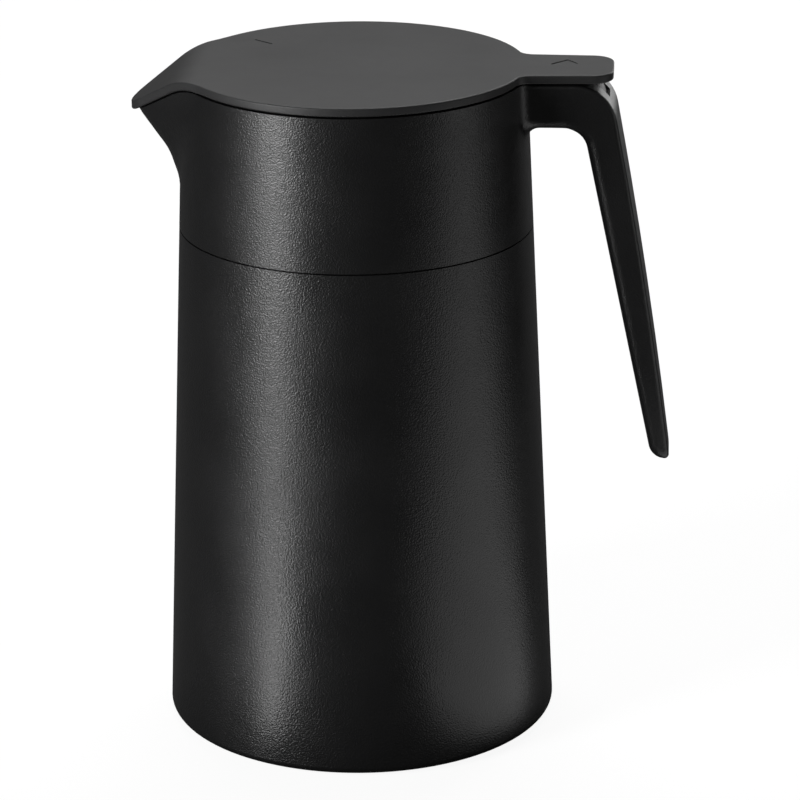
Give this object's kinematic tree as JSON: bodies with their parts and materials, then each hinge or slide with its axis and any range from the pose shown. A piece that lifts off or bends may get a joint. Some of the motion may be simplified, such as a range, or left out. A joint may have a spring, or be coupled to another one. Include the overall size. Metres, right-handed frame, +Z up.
{
  "type": "thermal carafe with flip lid",
  "caption": "Double-walled steel carafe in a black tapering casing with a pouring spout, a long open handle and a hinged flip lid with an insulated plug.",
  "frame": {"origin": "centre of the anti-slip pad's underside, on the body's axis, at the plane that the carafe rests on", "axes": "+Z up along the body's axis, +X towards the handle, -X towards the spout, +Y across the hinge pin"},
  "size_m": [0.1737, 0.1282, 0.2205],
  "materials": {
    "shell_coat": "fine-grained matt black powder coat",
    "flask_steel": "satin stainless steel",
    "solder_metal": "dull solder",
    "foil_metal": "bright thin foil",
    "casing_plastic": "fine-grained matt black moulding",
    "cover_plastic": "smooth satin black moulding",
    "bowl_plastic": "smooth satin black moulding",
    "lid_plastic": "smooth matt black moulding",
    "plug_plastic": "smooth satin black moulding",
    "foot_rubber": "matt black rubber",
    "seal_rubber": "matt dark silicone rubber",
    "foam": "off-white expanded foam",
    "pin_steel": "bright drawn stainless steel"
  },
  "bodies": {
    "jug": {"outer_shell": "shell_coat", "inner_flask": "flask_steel", "vacuum_base": "flask_steel", "vacuum_seal": "solder_metal", "getter": "solder_metal", "foil_wrap": "foil_metal", "base_cover": "cover_plastic", "base_pad": "foot_rubber", "upper_casing": "casing_plastic", "handle_cover": "cover_plastic", "pouring_bowl": "bowl_plastic", "casing_screws": "pin_steel", "neck_gasket": "seal_rubber", "locking_ring": "bowl_plastic", "hinge_pin": "pin_steel", "pin_plug": "cover_plastic", "lid_spring": "pin_steel"},
    "lid": {"lid_plate": "lid_plastic", "plug_housing": "plug_plastic", "plug_seal": "seal_rubber", "plug_insulation": "foam", "plug_cap": "plug_plastic", "lid_screws": "pin_steel"}
  },
  "joints": [
    {"name": "lid_hinge", "type": "hinge", "parent": "jug", "child": "lid", "pos_m": [0.075, 0, 0.2104], "axis": [0, 1, 0], "range_deg": [0, 65], "stiffness_Nm_per_rad": 0.05, "springref_deg": -28.65, "deforming": ["lid_spring"]}
  ]
}
